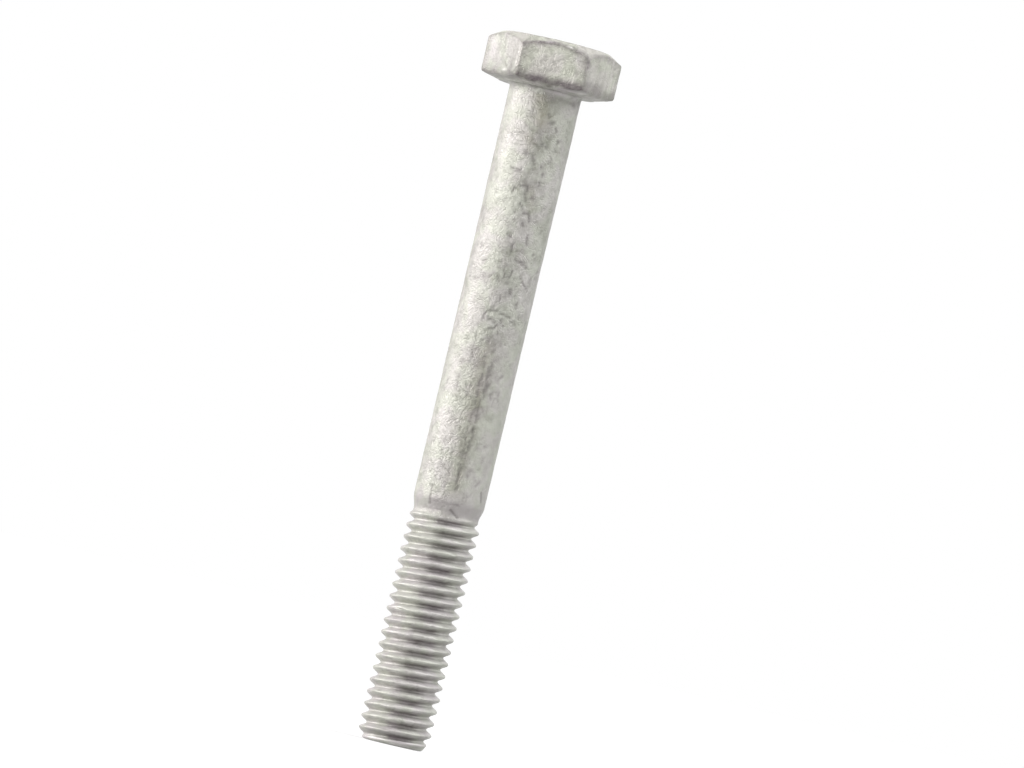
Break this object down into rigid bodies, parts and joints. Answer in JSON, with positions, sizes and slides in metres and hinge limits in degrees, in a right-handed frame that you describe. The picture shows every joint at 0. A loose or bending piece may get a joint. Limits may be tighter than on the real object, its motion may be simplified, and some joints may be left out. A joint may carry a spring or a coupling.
{
  "type": "hex bolt",
  "caption": "Part-threaded metric hex head bolt with a plain shank, washer face, chamfered head and chamfered tip, in hot-dip galvanised steel.",
  "frame": {"origin": "centre of the flat tip end, on the bolt's axis", "axes": "+Z along the bolt's axis from the tip to the head, so the bolt stands on its tip; +Y and -Y square to two opposite wrench flats, and the X axis through two opposite corners of the head"},
  "size_m": [0.0112, 0.0098, 0.059],
  "materials": {
    "galvanised_steel": "satin"
  },
  "bodies": {
    "root": {"hex_bolt": "galvanised_steel"}
  },
  "joints": []
}
